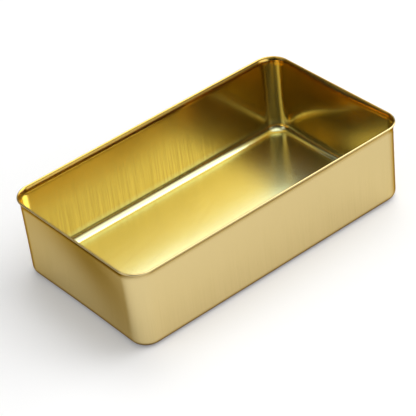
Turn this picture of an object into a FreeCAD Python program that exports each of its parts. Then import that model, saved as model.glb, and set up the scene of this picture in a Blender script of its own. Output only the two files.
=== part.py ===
import FreeCAD, Part
import math
import os

# Rectangular metal tin: one open tray drawn from a single blank of lacquered tinplate.
# The flat floor turns up through a round bottom edge into four walls that lean out a little.
# The mouth flares out over its top few millimetres, and the edge of the sheet is rolled inwards there
# into a small hollow bead that stiffens the rim and hides the cut edge.
# Millimetres. The origin is the middle of the base, X along the length, Z up.

# Driving dimensions
length = 200.0          # over the rim
width = 114.0           # over the rim
height = 53.0           # from the table to the top of the rim
sheet = 0.28            # lacquered tinplate
corner_radius = 13.0    # plan radius of a corner, over the rim
bottom_radius = 5.5     # outside of the turn from the floor to the wall
draft = 0.7             # degrees that each wall leans out from upright
flare_radius = 10.5     # the curve that carries the wall outwards at the mouth, in the sheet's middle
flare_turn = 27.0       # degrees that the flare adds to the draft
bead_diameter = 1.3     # outside of the rolled rim
bead_end = 245.0        # degrees round the bead at its cut edge, from straight outwards and over the top


def mid(a, b):
    return (a + b) / 2.0


def turn(centre, radius, degrees):
    """Point at an angle on a circle of the section, u outwards and z up."""
    angle = math.radians(degrees)
    return (centre[0] + radius * math.cos(angle), centre[1] + radius * math.sin(angle))


def section_points():
    """Corners and arc middles of the sheet's section, u measured from the corner's own axis."""
    half = sheet / 2.0
    lean = math.radians(draft)
    mouth_lean = draft + flare_turn
    wall = 180.0 - draft
    mouth = 180.0 - mouth_lean

    # The bead lies inside the sheet that it is rolled from, and the flare curves away below it.
    bead_centre = (corner_radius - bead_diameter / 2.0, height - bead_diameter / 2.0)
    bead_out = bead_diameter / 2.0
    bead_in = bead_out - sheet
    flare_centre = turn(bead_centre, bead_out - half + flare_radius, -mouth_lean)
    flare_out = flare_radius - half
    flare_in = flare_radius + half
    wall_top_out = turn(flare_centre, flare_out, wall)

    # The bottom turn touches the table plane and the wall's outer face.
    rise = wall_top_out[1] - bottom_radius
    turn_u = wall_top_out[0] - (rise * math.sin(lean) + bottom_radius) / math.cos(lean)
    turn_centre = (turn_u, bottom_radius)
    inner_turn = bottom_radius - sheet
    turn_middle = mid(-90.0, -draft)

    return {
        "floor_under": (turn_u, 0.0),
        "floor_top": (turn_u, sheet),
        "turn_out_middle": turn(turn_centre, bottom_radius, turn_middle),
        "turn_in_middle": turn(turn_centre, inner_turn, turn_middle),
        "wall_foot_out": turn(turn_centre, bottom_radius, -draft),
        "wall_foot_in": turn(turn_centre, inner_turn, -draft),
        "wall_top_out": wall_top_out,
        "wall_top_in": turn(flare_centre, flare_in, wall),
        "flare_out_middle": turn(flare_centre, flare_out, mid(wall, mouth)),
        "flare_in_middle": turn(flare_centre, flare_in, mid(wall, mouth)),
        "bead_start_out": turn(bead_centre, bead_out, -mouth_lean),
        "bead_start_in": turn(bead_centre, bead_in, -mouth_lean),
        "bead_out_middle": turn(bead_centre, bead_out, mid(bead_end, -mouth_lean)),
        "bead_in_middle": turn(bead_centre, bead_in, mid(bead_end, -mouth_lean)),
        "bead_end_out": turn(bead_centre, bead_out, bead_end),
        "bead_end_in": turn(bead_centre, bead_in, bead_end),
    }


def section_face(points):
    """The sheet's section from the edge of the flat floor to the cut edge inside the bead, in the XZ plane."""
    at = {name: FreeCAD.Vector(u, 0.0, z) for name, (u, z) in points.items()}

    def line(a, b):
        return Part.makeLine(at[a], at[b])

    def arc(a, middle, b):
        return Part.Arc(at[a], at[middle], at[b]).toShape()

    wire = Part.Wire([
        arc("floor_under", "turn_out_middle", "wall_foot_out"),
        line("wall_foot_out", "wall_top_out"),
        arc("wall_top_out", "flare_out_middle", "bead_start_out"),
        arc("bead_start_out", "bead_out_middle", "bead_end_out"),
        line("bead_end_out", "bead_end_in"),
        arc("bead_end_in", "bead_in_middle", "bead_start_in"),
        arc("bead_start_in", "flare_in_middle", "wall_top_in"),
        line("wall_top_in", "wall_foot_in"),
        arc("wall_foot_in", "turn_in_middle", "floor_top"),
        line("floor_top", "floor_under"),
    ])
    return Part.Face(wire)


def side(section, run, degrees, corner):
    """A straight wall with its bottom turn, flare and bead, run long, starting at one corner's axis."""
    wall = section.extrude(FreeCAD.Vector(0, run, 0))
    wall.rotate(FreeCAD.Vector(0, 0, 0), FreeCAD.Vector(0, 0, 1), degrees)
    wall.translate(corner)
    return wall


def corner_turn(section, degrees, corner):
    """A quarter turn of the same section about a corner's upright axis."""
    quarter = section.revolve(FreeCAD.Vector(0, 0, 0), FreeCAD.Vector(0, 0, 1), 90)
    quarter.rotate(FreeCAD.Vector(0, 0, 0), FreeCAD.Vector(0, 0, 1), degrees)
    quarter.translate(corner)
    return quarter


def floor_plate(reach, half_run, half_span):
    """The flat floor: a rounded rectangle of sheet that ends where the bottom turn begins."""
    x, y = half_run, half_span
    slant = reach * math.sqrt(0.5)
    edges = []
    corners = [(x, y, 1, 1), (-x, y, -1, 1), (-x, -y, -1, -1), (x, -y, 1, -1)]
    for index, (cx, cy, sx, sy) in enumerate(corners):
        by_x = FreeCAD.Vector(cx + sx * reach, cy, 0)
        by_y = FreeCAD.Vector(cx, cy + sy * reach, 0)
        between = FreeCAD.Vector(cx + sx * slant, cy + sy * slant, 0)
        first, last = (by_x, by_y) if index % 2 == 0 else (by_y, by_x)
        edges.append(Part.Arc(first, between, last).toShape())
    for index, edge in enumerate(list(edges)):
        after = edges[(index + 1) % len(corners)]
        edges.append(Part.makeLine(edge.Vertexes[-1].Point, after.Vertexes[0].Point))
    outline = Part.Wire(Part.__sortEdges__(edges))
    return Part.Face(outline).extrude(FreeCAD.Vector(0, 0, sheet))


def tin_body():
    """Floor, four straight walls and four corners, joined into the one drawn piece."""
    points = section_points()
    section = section_face(points)
    half_run = length / 2.0 - corner_radius
    half_span = width / 2.0 - corner_radius
    reach = points["floor_under"][0]
    body = floor_plate(reach, half_run, half_span)
    ring = []
    axes = [(half_run, half_span), (-half_run, half_span), (-half_run, -half_span), (half_run, -half_span)]
    for index, (x, y) in enumerate(axes):
        degrees = 90.0 * index
        before = FreeCAD.Vector(*axes[index - 1], 0)
        axis = FreeCAD.Vector(x, y, 0)
        ring.append(side(section, (axis - before).Length, degrees, before))
        ring.append(corner_turn(section, degrees, axis))
    return body.multiFuse(ring).removeSplitter()


def checked(name, shape):
    """Checks for one valid solid, and prints what shows that it is one sheet all over."""
    solids = shape.Solids
    assert len(solids) == 1 and shape.isValid(), name
    middle_area = shape.Area / 2.0
    box = shape.optimalBoundingBox(True, False)
    print(name, "faces", len(shape.Faces), "volume mm3", round(shape.Volume, 1))
    print("mean thickness", round(shape.Volume / middle_area, 3), "sheet", sheet)
    print("size", round(box.XLength, 3), round(box.YLength, 3), round(box.ZLength, 3))
    return solids[0]


os.makedirs("parts", exist_ok=True)
checked("tin_body", tin_body()).exportStep("parts/tin_body.step")
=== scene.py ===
import math

import bmesh
import bpy
from mathutils import Matrix, Vector


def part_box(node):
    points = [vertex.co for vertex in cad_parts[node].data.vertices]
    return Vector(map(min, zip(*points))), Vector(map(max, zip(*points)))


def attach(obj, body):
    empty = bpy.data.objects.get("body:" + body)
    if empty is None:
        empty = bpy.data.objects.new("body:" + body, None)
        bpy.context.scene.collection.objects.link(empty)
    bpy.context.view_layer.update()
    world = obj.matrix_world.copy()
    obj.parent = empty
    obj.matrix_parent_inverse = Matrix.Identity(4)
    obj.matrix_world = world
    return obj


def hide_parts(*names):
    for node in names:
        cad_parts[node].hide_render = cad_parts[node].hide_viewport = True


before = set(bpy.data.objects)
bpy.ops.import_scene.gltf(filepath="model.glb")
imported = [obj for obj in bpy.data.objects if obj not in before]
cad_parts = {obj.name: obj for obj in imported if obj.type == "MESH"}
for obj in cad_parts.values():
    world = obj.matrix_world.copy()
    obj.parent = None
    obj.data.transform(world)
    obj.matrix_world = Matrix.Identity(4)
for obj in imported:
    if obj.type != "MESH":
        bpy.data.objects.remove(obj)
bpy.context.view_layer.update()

# Sizes in metres. Length, width and height come from the frame.
MM = 0.001
box_low, box_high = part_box("tin_body")
LENGTH = box_high.x - box_low.x
WIDTH = box_high.y - box_low.y
HEIGHT = box_high.z - box_low.z
SHEET = 0.28 * MM
CORNER_RADIUS = 13.0 * MM
BOTTOM_RADIUS = 5.5 * MM
DRAFT = math.radians(0.7)
FLARE_RADIUS = 10.5 * MM
FLARE_TURN = math.radians(27.0)
BEAD_DIAMETER = 1.3 * MM
BEAD_END = math.radians(245.0)

# Drawn walls spring in a little once the punch is out: how far the middle of each stands in from its edges
LONG_WALL_BOW = 0.3 * MM
SHORT_WALL_BOW = 3.0 * MM

# Steps round each curve of the mesh
CORNER_STEPS = 28
BOTTOM_STEPS = 20
FLARE_STEPS = 10
BEAD_STEPS = 24
WALL_STEPS = 14
SIDE_STEPS = 24

MERGE_WITHIN = SHEET / 50   # points of the mesh nearer than this are one
OUTSIDE, INSIDE = 0, 1      # the body's two finishes


def linear(hex_colour):
    """An sRGB hex colour as the linear colour that a shader takes."""
    parts = [int(hex_colour[i:i + 2], 16) / 255 for i in (1, 3, 5)]
    return [c / 12.92 if c <= 0.04045 else ((c + 0.055) / 1.055) ** 2.4 for c in parts] + [1.0]


def add(tree, kind, links=(), **settings):
    """Adds a node, sets its properties and sockets, and links its inputs."""
    node = tree.nodes.new(kind)
    for name, value in settings.items():
        if hasattr(node, name):
            setattr(node, name, value)
        else:
            node.inputs[name.replace("_", " ")].default_value = value
    for name, source in links:
        tree.links.new(source, node.inputs[name])
    return node


# The drawn body, from its section

def grow(bm, vert, cut):
    """Runs the section on in a straight line to the point cut, and gives its new end."""
    new = bmesh.ops.extrude_vert_indiv(bm, verts=[vert])["verts"][0]
    new.co = cut
    return new


def rise_to(bm, vert, top, steps):
    """Runs the section on in equal steps to the point top, and gives its new end."""
    foot = vert.co.copy()
    for step in range(steps):
        vert = grow(bm, vert, foot.lerp(top, (step + 1) / steps))
    return vert


def bend(bm, vert, centre, angle, steps):
    """Runs the section on round an arc in the XZ plane, and gives its new end."""
    made = bmesh.ops.spin(bm, geom=[vert], cent=centre, axis=(0, 1, 0), angle=-angle, steps=steps)
    return next(v for v in made["geom_last"] if isinstance(v, bmesh.types.BMVert))


def at(centre, radius, angle):
    """A point on a circle of the section."""
    return Vector((centre.x + radius * math.cos(angle), centre.y, centre.z + radius * math.sin(angle)))


def section(bm, axis):
    """Draws the sheet's section: up its inner face to the cut edge in the bead, and down its outer face."""
    half = SHEET / 2
    bead_mean = (BEAD_DIAMETER - SHEET) / 2
    wall = math.pi - DRAFT
    lean = DRAFT + FLARE_TURN
    bead = Vector((axis.x + CORNER_RADIUS - BEAD_DIAMETER / 2, axis.y, HEIGHT - BEAD_DIAMETER / 2))
    flare = at(bead, bead_mean + FLARE_RADIUS, -lean)
    foot = at(flare, FLARE_RADIUS - half, wall)
    rise = foot.z - BOTTOM_RADIUS
    turn_x = foot.x - (rise * math.sin(DRAFT) + BOTTOM_RADIUS) / math.cos(DRAFT)
    turn = Vector((turn_x, axis.y, BOTTOM_RADIUS))
    quarter = math.pi / 2 - DRAFT
    sweep = BEAD_END + lean

    end = bm.verts.new((turn_x, axis.y, SHEET))
    end = bend(bm, end, turn, quarter, BOTTOM_STEPS)
    end = rise_to(bm, end, at(flare, FLARE_RADIUS + half, wall), WALL_STEPS)
    end = bend(bm, end, flare, -FLARE_TURN, FLARE_STEPS)
    end = bend(bm, end, bead, sweep, BEAD_STEPS)
    end = grow(bm, end, at(bead, bead_mean + half, BEAD_END))
    end = bend(bm, end, bead, -sweep, BEAD_STEPS)
    end = bend(bm, end, flare, FLARE_TURN, FLARE_STEPS)
    end = rise_to(bm, end, at(turn, BOTTOM_RADIUS, -DRAFT), WALL_STEPS)
    end = bend(bm, end, turn, -quarter, BOTTOM_STEPS)
    return list(bm.edges)


def nearest_axis(point, x, y, height):
    """The point at a height, on or between the four corner axes, that lies nearest in plan."""
    return Vector((max(-x, min(x, point.x)), max(-y, min(y, point.y)), height))


def faces_inwards(face, x, y):
    """True where a face looks at the middle line of the mouth."""
    middle = face.calc_center_median()
    return face.normal.dot(middle - nearest_axis(middle, x, y, HEIGHT)) < 0


def mark_ring(bm, x, y):
    """A UV map that holds, for each upright line of the walls, where it meets the rim in plan, in metres."""
    ring = bm.loops.layers.uv.new("ring")
    for face in bm.faces:
        for loop in face.loops:
            place = loop.vert.co
            axis = nearest_axis(place, x, y, place.z)
            loop[ring].uv = (axis + (place - axis).normalized() * CORNER_RADIUS).xy


def run_on(bm, edges, way, steps):
    """Carries the section straight on by way, in equal steps, and gives its last edges."""
    for _ in range(steps):
        made = bmesh.ops.extrude_edge_only(bm, edges=edges)["geom"]
        verts = [v for v in made if isinstance(v, bmesh.types.BMVert)]
        bmesh.ops.translate(bm, verts=verts, vec=way / steps)
        edges = [e for e in made if isinstance(e, bmesh.types.BMEdge)]
    return edges


def bow_walls(bm):
    """Draws the middle of each wall inwards; its ends, its foot and the rim stay where they are."""
    for vert in bm.verts:
        rise = math.sin(math.pi * vert.co.z / HEIGHT)
        ends = SHORT_WALL_BOW * math.cos(math.pi * vert.co.y / WIDTH) ** 2 * rise
        sides = LONG_WALL_BOW * math.cos(math.pi * vert.co.x / LENGTH) ** 2 * rise
        vert.co.x *= 1 - 2 * ends / LENGTH
        vert.co.y *= 1 - 2 * sides / WIDTH


def drawn_body():
    """Carries the section round the mouth: four straight sides and four quarter turns, then the floor."""
    bm = bmesh.new()
    x = LENGTH / 2 - CORNER_RADIUS
    y = WIDTH / 2 - CORNER_RADIUS
    axes = [Vector((x, -y, 0)), Vector((x, y, 0)), Vector((-x, y, 0)), Vector((-x, -y, 0))]
    edges = section(bm, axes[0])
    bmesh.ops.rotate(bm, verts=bm.verts[:], cent=axes[0], matrix=Matrix.Rotation(-math.pi / 2, 3, "Z"))
    for index, axis in enumerate(axes):
        if index:
            edges = run_on(bm, edges, axis - axes[index - 1], SIDE_STEPS)
        made = bmesh.ops.spin(
            bm, geom=edges, cent=axis, axis=(0, 0, 1), angle=math.pi / 2, steps=CORNER_STEPS)
        edges = [e for e in made["geom_last"] if isinstance(e, bmesh.types.BMEdge)]
    run_on(bm, edges, axes[0] - axes[3], SIDE_STEPS)
    bmesh.ops.remove_doubles(bm, verts=bm.verts[:], dist=MERGE_WITHIN)
    rims = [e for e in bm.edges if e.is_boundary]
    bmesh.ops.holes_fill(bm, edges=rims, sides=0)
    bmesh.ops.recalc_face_normals(bm, faces=bm.faces[:])
    mark_ring(bm, x, y)
    bow_walls(bm)
    for face in bm.faces:
        face.material_index = INSIDE if faces_inwards(face, x, y) else OUTSIDE
    mesh = bpy.data.meshes.new("drawn_tin")
    bm.to_mesh(mesh)
    bm.free()
    mesh.shade_smooth()
    body = bpy.data.objects.new("drawn_tin", mesh)
    bpy.context.scene.collection.objects.link(body)
    body.modifiers.new("flat walls stay flat", "WEIGHTED_NORMAL").keep_sharp = True
    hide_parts("tin_body")
    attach(body, "root")
    return body


# Materials

# The sheet's finish, in millimetres
DRAW_LINE = 0.55        # from one draw line to the next; the real ones are finer than the render can show
DRAW_RUN = 45.0         # how far a line runs up the wall
WAVE = 30.0             # the sheet's slow unevenness
WAVE_DEPTH = 0.10
FLOOR_TURN = 1.0, 9.0   # the heights between which the floor's finish inside changes to the walls'
FOOT_SHADE_TURN = 1.5, 4.5    # the same for the painted shade round the foot outside, which stands in for the table's contact shadow mirrored there

# The draw lines, and the noise that they come from
LINES_FADE = 0.35, 0.8      # the shares of the height between which they fade
LINES_AT_RIM = 0.15         # the share of them that is left there
LINE_EDGE = 0.42, 0.62      # the noise values at which a line starts and is full
LINE_ROUGHER = 1.25         # how many times as rough the metal is on a line
LINE_OCTAVES = 3.0          # finer layers of the noise
NOISE_FALL = 0.6            # the share that each finer layer keeps

# The Mix node's colour sockets, which share their names with its other kinds
COLOUR_A, COLOUR_B, COLOUR_RESULT = 6, 7, 2


def stretched_noise(tree, place, across, along, detail):
    """Noise whose grains are across wide in plan and along high, in millimetres."""
    scale = (1 / (across * MM), 1 / (across * MM), 1 / (along * MM))
    mapping = add(tree, "ShaderNodeMapping", [("Vector", place)], Scale=scale)
    noise = add(
        tree, "ShaderNodeTexNoise", [("Vector", mapping.outputs[0])],
        Scale=1.0, Detail=detail, Roughness=NOISE_FALL)
    return noise.outputs["Fac"]


def spread(tree, source, low, high, start=0.0, end=1.0):
    """Carries the range start to end of a value over to low to high, and holds it there."""
    ramp = add(
        tree, "ShaderNodeMapRange", [("Value", source)],
        From_Min=start, From_Max=end, To_Min=low, To_Max=high)
    return ramp.outputs["Result"]


def blend_colour(tree, mask, first, second):
    """The colour first where the mask is 0, and second where it is 1."""
    mix = add(tree, "ShaderNodeMix", data_type="RGBA")
    tree.links.new(mask, mix.inputs["Factor"])
    for socket, colour in ((mix.inputs[COLOUR_A], first), (mix.inputs[COLOUR_B], second)):
        if isinstance(colour, bpy.types.NodeSocket):
            tree.links.new(colour, socket)
        else:
            socket.default_value = colour
    return mix.outputs[COLOUR_RESULT]


def product(tree, first, second):
    """The two values multiplied."""
    return add(tree, "ShaderNodeMath", [(0, first), (1, second)], operation="MULTIPLY").outputs[0]


def gold_lacquer(
        name, turn, floor_tint_and_foot_shade, wall_colour, line_colour, edge_tint_and_painted_shade,
        floor_rough, wall_rough, line_depth):
    """Clear gold lacquer over bright tinplate, drawn by a punch and not polished after.

    The eye sees a soft mirror in the lacquer's gold. Fine upright draw lines break it up low on the walls,
    and the sheet's slow waves bend it. Light that grazes it comes back in the grazing tint; on the outside
    that tint is a dark brown of painted shade, standing in for the shadowed table that the outer walls
    mirror.
    The low colour and floor_rough change to the wall's over the heights in turn; inside, that low colour is
    the floor's own paler tint, and outside it is painted shade round the foot, standing in for the table's
    contact shadow that the foot mirrors.
    """
    material = bpy.data.materials.new(name)
    material.use_nodes = True
    tree = material.node_tree
    tree.nodes.clear()
    place = add(tree, "ShaderNodeTexCoord").outputs["Object"]
    height = add(tree, "ShaderNodeSeparateXYZ", [("Vector", place)]).outputs["Z"]
    wall = spread(tree, height, 0.0, 1.0, turn[0] * MM, turn[1] * MM)
    ring_map = add(tree, "ShaderNodeUVMap", uv_map="ring").outputs[0]
    ring = add(tree, "ShaderNodeSeparateXYZ", [("Vector", ring_map)]).outputs
    upright = add(tree, "ShaderNodeCombineXYZ", [("X", ring["X"]), ("Y", ring["Y"]), ("Z", height)])
    lines = stretched_noise(tree, upright.outputs[0], DRAW_LINE, DRAW_RUN, LINE_OCTAVES)
    waves = stretched_noise(tree, place, WAVE, WAVE, 0.0)

    # The lines lie deepest low on the wall, where the sheet was drawn hardest, and fade towards the rim.
    fade_start, fade_end = LINES_FADE
    fade = spread(tree, height, 1.0, LINES_AT_RIM, fade_start * HEIGHT, fade_end * HEIGHT)
    drawn = product(tree, wall, fade)
    line = product(tree, spread(tree, lines, 0.0, 1.0, *LINE_EDGE), drawn)
    # Below the turn: the floor's own tint inside; outside, painted shade round the foot, standing in for the
    # mirrored contact shadow
    colour = blend_colour(tree, wall, linear(floor_tint_and_foot_shade), linear(wall_colour))
    colour = blend_colour(tree, line, colour, linear(line_colour))
    rough = product(
        tree, spread(tree, wall, floor_rough, wall_rough), spread(tree, line, 1.0, LINE_ROUGHER))

    slow = add(tree, "ShaderNodeBump", [("Height", waves)], Strength=1.0, Distance=WAVE_DEPTH * MM)
    fine = add(
        tree, "ShaderNodeBump", [("Height", product(tree, lines, drawn)), ("Normal", slow.outputs[0])],
        Strength=1.0, Distance=line_depth * MM)
    # The grazing tint: pale inside; outside a dark brown of painted shade, standing in for the shadowed
    # table that the outer walls mirror
    shader = add(
        tree, "ShaderNodeBsdfPrincipled",
        [("Base Color", colour), ("Roughness", rough), ("Normal", fine.outputs[0])], Metallic=1.0,
        Specular_Tint=linear(edge_tint_and_painted_shade))
    add(tree, "ShaderNodeOutputMaterial", [("Surface", shader.outputs[0])])
    return material


def seen_glow(tree, strength):
    """A strength for camera, mirror and clear rays only, so that the glow doesn't light the tin."""
    path = add(tree, "ShaderNodeLightPath").outputs
    seen = add(
        tree, "ShaderNodeMath", [(0, path["Is Camera Ray"]), (1, path["Is Glossy Ray"])],
        operation="MAXIMUM")
    seen = add(
        tree, "ShaderNodeMath", [(0, seen.outputs[0]), (1, path["Is Transmission Ray"])],
        operation="MAXIMUM")
    glow = add(tree, "ShaderNodeMath", [(0, seen.outputs[0])], operation="MULTIPLY")
    glow.inputs[1].default_value = strength
    return glow.outputs[0]


def white_table():
    """Matt white card, uncoated: no gloss, and a soft shadow. A little glow brings it up to white."""
    material = bpy.data.materials.new("matt_white_card")
    material.use_nodes = True
    tree = material.node_tree
    tree.nodes.clear()
    shader = add(
        tree, "ShaderNodeBsdfPrincipled", Base_Color=linear("#DEDEDE"), Roughness=0.8,
        Emission_Color=(1, 1, 1, 1))
    tree.links.new(seen_glow(tree, TABLE_GLOW), shader.inputs["Emission Strength"])
    add(tree, "ShaderNodeOutputMaterial", [("Surface", shader.outputs[0])])
    return material


# Stage, light and camera

TABLE_HALF = 30.0       # metres; so wide that a camera above it sees nothing else
TABLE_GLOW = 0.2        # where 1 is white

# Each soft window of the studio: the way it lies from the tin, as degrees round from straight in front
# towards +X and degrees up, then how far its full light and its fading edge reach, and its strength.
WINDOWS = [
    (72, 24, 21, 33, 2.3),      # the wide one at the right
    (66, 7, 7, 30, 0.9),        # its low part, down to the table's edge
    (45, 48, 10, 34, 1.3),      # high at the right, seen in the floor
    (146, 52, 10, 22, 2.2),     # high behind at the right
    (105, 62, 10, 24, 2.2),     # between the two, seen in the floor's round edge
    (0, 2, 14, 36, 1.3),        # low in front
    (-35, 61, 5, 26, 0.9),      # high in front at the left
    (-107, 34, 12, 32, 0.9),    # a dim one at the left
    (0, 88, 8, 36, 0.9),        # a dim one overhead
]
ROOM = 0.03     # the strength of the dark room between them


def table():
    """The flat card that the tin stands on."""
    bm = bmesh.new()
    bmesh.ops.create_grid(bm, x_segments=1, y_segments=1, size=TABLE_HALF)
    mesh = bpy.data.meshes.new("table")
    bm.to_mesh(mesh)
    bm.free()
    top = bpy.data.objects.new("table", mesh)
    bpy.context.scene.collection.objects.link(top)
    mesh.materials.append(white_table())


def towards(azimuth, elevation):
    """The unit vector from the tin, round from straight in front towards +X and up."""
    level = math.cos(elevation)
    return Vector((math.sin(azimuth) * level, -math.cos(azimuth) * level, math.sin(elevation)))


def soft_window(tree, ray, azimuth, elevation, full, edge, strength):
    """One round window whose light fades smoothly at its edge."""
    middle = towards(math.radians(azimuth), math.radians(elevation))
    facing = add(tree, "ShaderNodeVectorMath", [(0, ray)], operation="DOT_PRODUCT")
    facing.inputs[1].default_value = middle
    return add(
        tree, "ShaderNodeMapRange", [("Value", facing.outputs["Value"])], interpolation_type="SMOOTHSTEP",
        From_Min=math.cos(math.radians(edge)), From_Max=math.cos(math.radians(full)), To_Max=strength)


def world_light():
    """A dim room with soft windows."""
    world = bpy.data.worlds.new("studio")
    bpy.context.scene.world = world
    world.use_nodes = True
    tree = world.node_tree
    tree.nodes.clear()
    ray = add(tree, "ShaderNodeTexCoord").outputs["Generated"]
    total = add(tree, "ShaderNodeValue")
    total.outputs[0].default_value = ROOM
    for window in WINDOWS:
        light = soft_window(tree, ray, *window)
        total = add(
            tree, "ShaderNodeMath", [(0, total.outputs[0]), (1, light.outputs["Result"])], operation="ADD")
    back = add(tree, "ShaderNodeBackground", [("Strength", total.outputs[0])], Color=(1, 1, 1, 1))
    add(tree, "ShaderNodeOutputWorld", [("Surface", back.outputs[0])])


# The camera, fitted to the photograph's outline. Its picture is square.
FOCAL_PIXELS = 1915.17
IMAGE_PIXELS = 416
SENSOR_WIDTH = 36.0                 # millimetres
AZIMUTH = math.radians(-35.931)     # round from straight in front, as for the windows
ELEVATION = math.radians(36.106)
ROLL = math.radians(-7.129)
DISTANCE = 1116.83 * MM             # from the middle of the tin's underside
ASIDE = -5.209 * MM                 # then to the picture's right
RAISE = 13.737 * MM                 # and up in the picture


def camera():
    """The camera at the photograph's angle."""
    data = bpy.data.cameras.new("camera")
    back = towards(AZIMUTH, ELEVATION)
    level = (-back).cross(Vector((0, 0, 1))).normalized()
    upright = level.cross(-back)
    right = math.cos(ROLL) * level + math.sin(ROLL) * upright
    up = -math.sin(ROLL) * level + math.cos(ROLL) * upright
    view = bpy.data.objects.new("camera", data)
    bpy.context.scene.collection.objects.link(view)
    place = back * DISTANCE + right * ASIDE + up * RAISE
    turn = Matrix((right, up, back)).transposed()
    view.matrix_world = Matrix.Translation(place) @ turn.to_4x4()
    data.sensor_width = SENSOR_WIDTH
    data.lens = FOCAL_PIXELS * data.sensor_width / IMAGE_PIXELS
    data.clip_end = 2 * TABLE_HALF
    bpy.context.scene.camera = view


body = drawn_body()

# Outside, drawn through the polished die: a pale, even gold with hardly a line.
# The brown round the foot is painted shade, standing in for the table's contact shadow that the foot
# mirrors, and the dark brown grazing tint is painted shade for the shadowed table that the outer walls
# mirror.
body.data.materials.append(gold_lacquer(
    "gold_lacquer_outside", FOOT_SHADE_TURN, floor_tint_and_foot_shade="#5C421D", wall_colour="#D6C18A", line_colour="#D3BE86",
    edge_tint_and_painted_shade="#9A7442", floor_rough=0.16, wall_rough=0.16, line_depth=0.0005))

# Inside: the floor is undrawn sheet, paler and a little duller, and the walls are deeper gold with lines
body.data.materials.append(gold_lacquer(
    "gold_lacquer_inside", FLOOR_TURN, floor_tint_and_foot_shade="#E2E8B9", wall_colour="#E4C169", line_colour="#D3B05B",
    edge_tint_and_painted_shade="#D9C69C", floor_rough=0.24, wall_rough=0.15, line_depth=0.004))
table()
world_light()
camera()
bpy.context.scene.view_settings.view_transform = "Standard"
